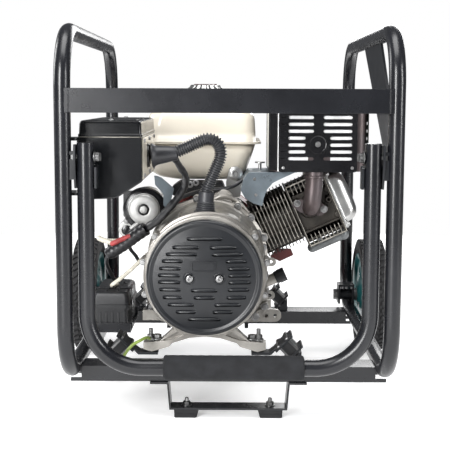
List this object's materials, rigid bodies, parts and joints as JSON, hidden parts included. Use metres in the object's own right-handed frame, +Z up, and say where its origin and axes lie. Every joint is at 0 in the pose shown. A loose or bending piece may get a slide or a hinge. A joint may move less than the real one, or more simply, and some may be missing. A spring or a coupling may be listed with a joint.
{
  "type": "engine driven welder",
  "caption": "Petrol engine and welding alternator in a tube frame on two wheels, with a folding handle, control box and starting battery.",
  "frame": {"origin": "on the ground, at the middle of the whole machine's outline", "axes": "+Z up, -Y towards the alternator and folding handle, +Y towards the wheels and pull starter, +X towards the cylinder and muffler"},
  "size_m": [0.7706, 0.846, 0.75],
  "materials": {
    "frame_paint": "satin black paint",
    "bracket_steel": "satin dark grey paint",
    "bright_steel": "zinc plated",
    "foot_rubber": "matt",
    "foam": "matt foam",
    "wheel_disc": "gloss teal paint",
    "tyre": "matt",
    "casting": "as cast",
    "casting_dark": "as cast, heat darkened",
    "copper_iron": "laminations and varnish",
    "cover_paint": "satin charcoal paint",
    "machined": "machined",
    "piston_metal": "machined",
    "pressed_metal": "bright pressed",
    "shroud_paint": "semi gloss",
    "exhaust_metal": "heat tinted",
    "black_paint": "gloss black heat paint",
    "black_plastic": "matt moulded",
    "tank_paint": "gloss cream paint",
    "fan_paint": "gloss red paint",
    "plug_metal": "grey",
    "box_paint": "satin black paint",
    "flap_plastic": "gloss",
    "light_plastic": "gloss",
    "conduit_plastic": "ribbed, satin",
    "cable": "satin"
  },
  "bodies": {
    "frame": {"left_hoop": "frame_paint", "right_hoop": "frame_paint", "cross_members": "frame_paint", "side_brace": "bracket_steel", "foot_bracket": "frame_paint", "rubber_feet": "foot_rubber", "axle_brackets": "bracket_steel", "handle_brackets": "bracket_steel", "pivot_bolts": "bright_steel", "mount_brackets": "bracket_steel", "mount_rubbers": "foot_rubber", "engine_cradle": "bracket_steel", "alternator_foot": "casting", "alternator_housing": "casting", "stator": "copper_iron", "alternator_cover": "cover_paint", "studs_and_screws": "bright_steel", "crankcase": "casting", "cylinder": "casting_dark", "cylinder_head": "casting_dark", "rocker_cover": "pressed_metal", "cylinder_shroud": "shroud_paint", "exhaust_pipe": "exhaust_metal", "muffler": "exhaust_metal", "muffler_guard": "black_paint", "air_cleaner": "black_plastic", "carburettor": "casting", "fuel_tank": "tank_paint", "fan_housing": "fan_paint", "recoil_cover": "fan_paint", "starter_motor": "pressed_metal", "spark_plug": "plug_metal", "control_box": "box_paint", "control_lid": "box_paint", "control_panel": "box_paint", "weld_sockets": "black_plastic", "conduit_hose": "conduit_plastic", "wiring": "cable", "battery_tray": "frame_paint", "battery_box": "black_plastic", "battery_lid": "black_plastic", "battery": "black_plastic"},
    "handle": {"handle_tube": "frame_paint", "handle_grip": "foam"},
    "left_wheel": {"left_wheel_hub": "wheel_disc", "left_tyre": "tyre"},
    "right_wheel": {"right_wheel_hub": "wheel_disc", "right_tyre": "tyre"},
    "crank": {"crankshaft": "machined", "rotor": "copper_iron", "flywheel": "casting"},
    "piston": {"piston": "piston_metal"},
    "fuel_cap": {"fuel_cap": "pressed_metal"},
    "recoil_grip": {"recoil_grip": "black_plastic"},
    "dipstick": {"dipstick": "black_plastic"},
    "outlet_flap": {"outlet_flap": "flap_plastic"},
    "current_knob": {"current_knob": "black_plastic"},
    "key_switch": {"key_switch": "bright_steel"},
    "breaker_lever": {"breaker_lever": "light_plastic"},
    "choke_lever": {"choke_lever": "black_plastic"}
  },
  "joints": [
    {"name": "handle_fold", "type": "hinge", "parent": "frame", "child": "handle", "pos_m": [0, -0.4, 0.51], "axis": [-1, 0, 0], "range_deg": [0, 90]},
    {"name": "left_wheel_spin", "type": "hinge", "parent": "frame", "child": "left_wheel", "pos_m": [-0.344, 0.287, 0.136], "axis": [1, 0, 0], "continuous": true},
    {"name": "right_wheel_spin", "type": "hinge", "parent": "frame", "child": "right_wheel", "pos_m": [0.344, 0.287, 0.136], "axis": [1, 0, 0], "continuous": true},
    {"name": "crank_spin", "type": "hinge", "parent": "frame", "child": "crank", "pos_m": [-0.046, 0, 0.277], "axis": [0, 1, 0], "continuous": true},
    {"name": "piston_stroke", "type": "slide", "parent": "frame", "child": "piston", "axis": [0.9135, 0, 0.4067], "range_m": [-0.032, 0.032]},
    {"name": "fuel_cap_turn", "type": "hinge", "parent": "frame", "child": "fuel_cap", "pos_m": [-0.056, 0.168, 0.62], "axis": [0, 0, 1], "range_deg": [0, 120]},
    {"name": "recoil_pull", "type": "slide", "parent": "frame", "child": "recoil_grip", "axis": [1, 0, 0], "range_m": [0, 0.45]},
    {"name": "dipstick_pull", "type": "slide", "parent": "frame", "child": "dipstick", "axis": [0.9135, 0, 0.4067], "range_m": [0, 0.075]},
    {"name": "outlet_flap_lift", "type": "hinge", "parent": "frame", "child": "outlet_flap", "pos_m": [-0.2886, -0.105, 0.5222], "axis": [0, 1, 0], "range_deg": [0, 110]},
    {"name": "current_turn", "type": "hinge", "parent": "frame", "child": "current_knob", "pos_m": [-0.29, -0.185, 0.506], "axis": [1, 0, 0], "range_deg": [0, 270]},
    {"name": "key_turn", "type": "hinge", "parent": "frame", "child": "key_switch", "pos_m": [-0.29, -0.185, 0.462], "axis": [1, 0, 0], "range_deg": [0, 90]},
    {"name": "breaker_tilt", "type": "hinge", "parent": "frame", "child": "breaker_lever", "pos_m": [-0.27, -0.154, 0.494], "axis": [0, 1, 0], "range_deg": [-30, 0]},
    {"name": "choke_turn", "type": "hinge", "parent": "frame", "child": "choke_lever", "pos_m": [0.222, 0.122, 0.396], "axis": [1, 0, 0], "range_deg": [0, 60]}
  ]
}
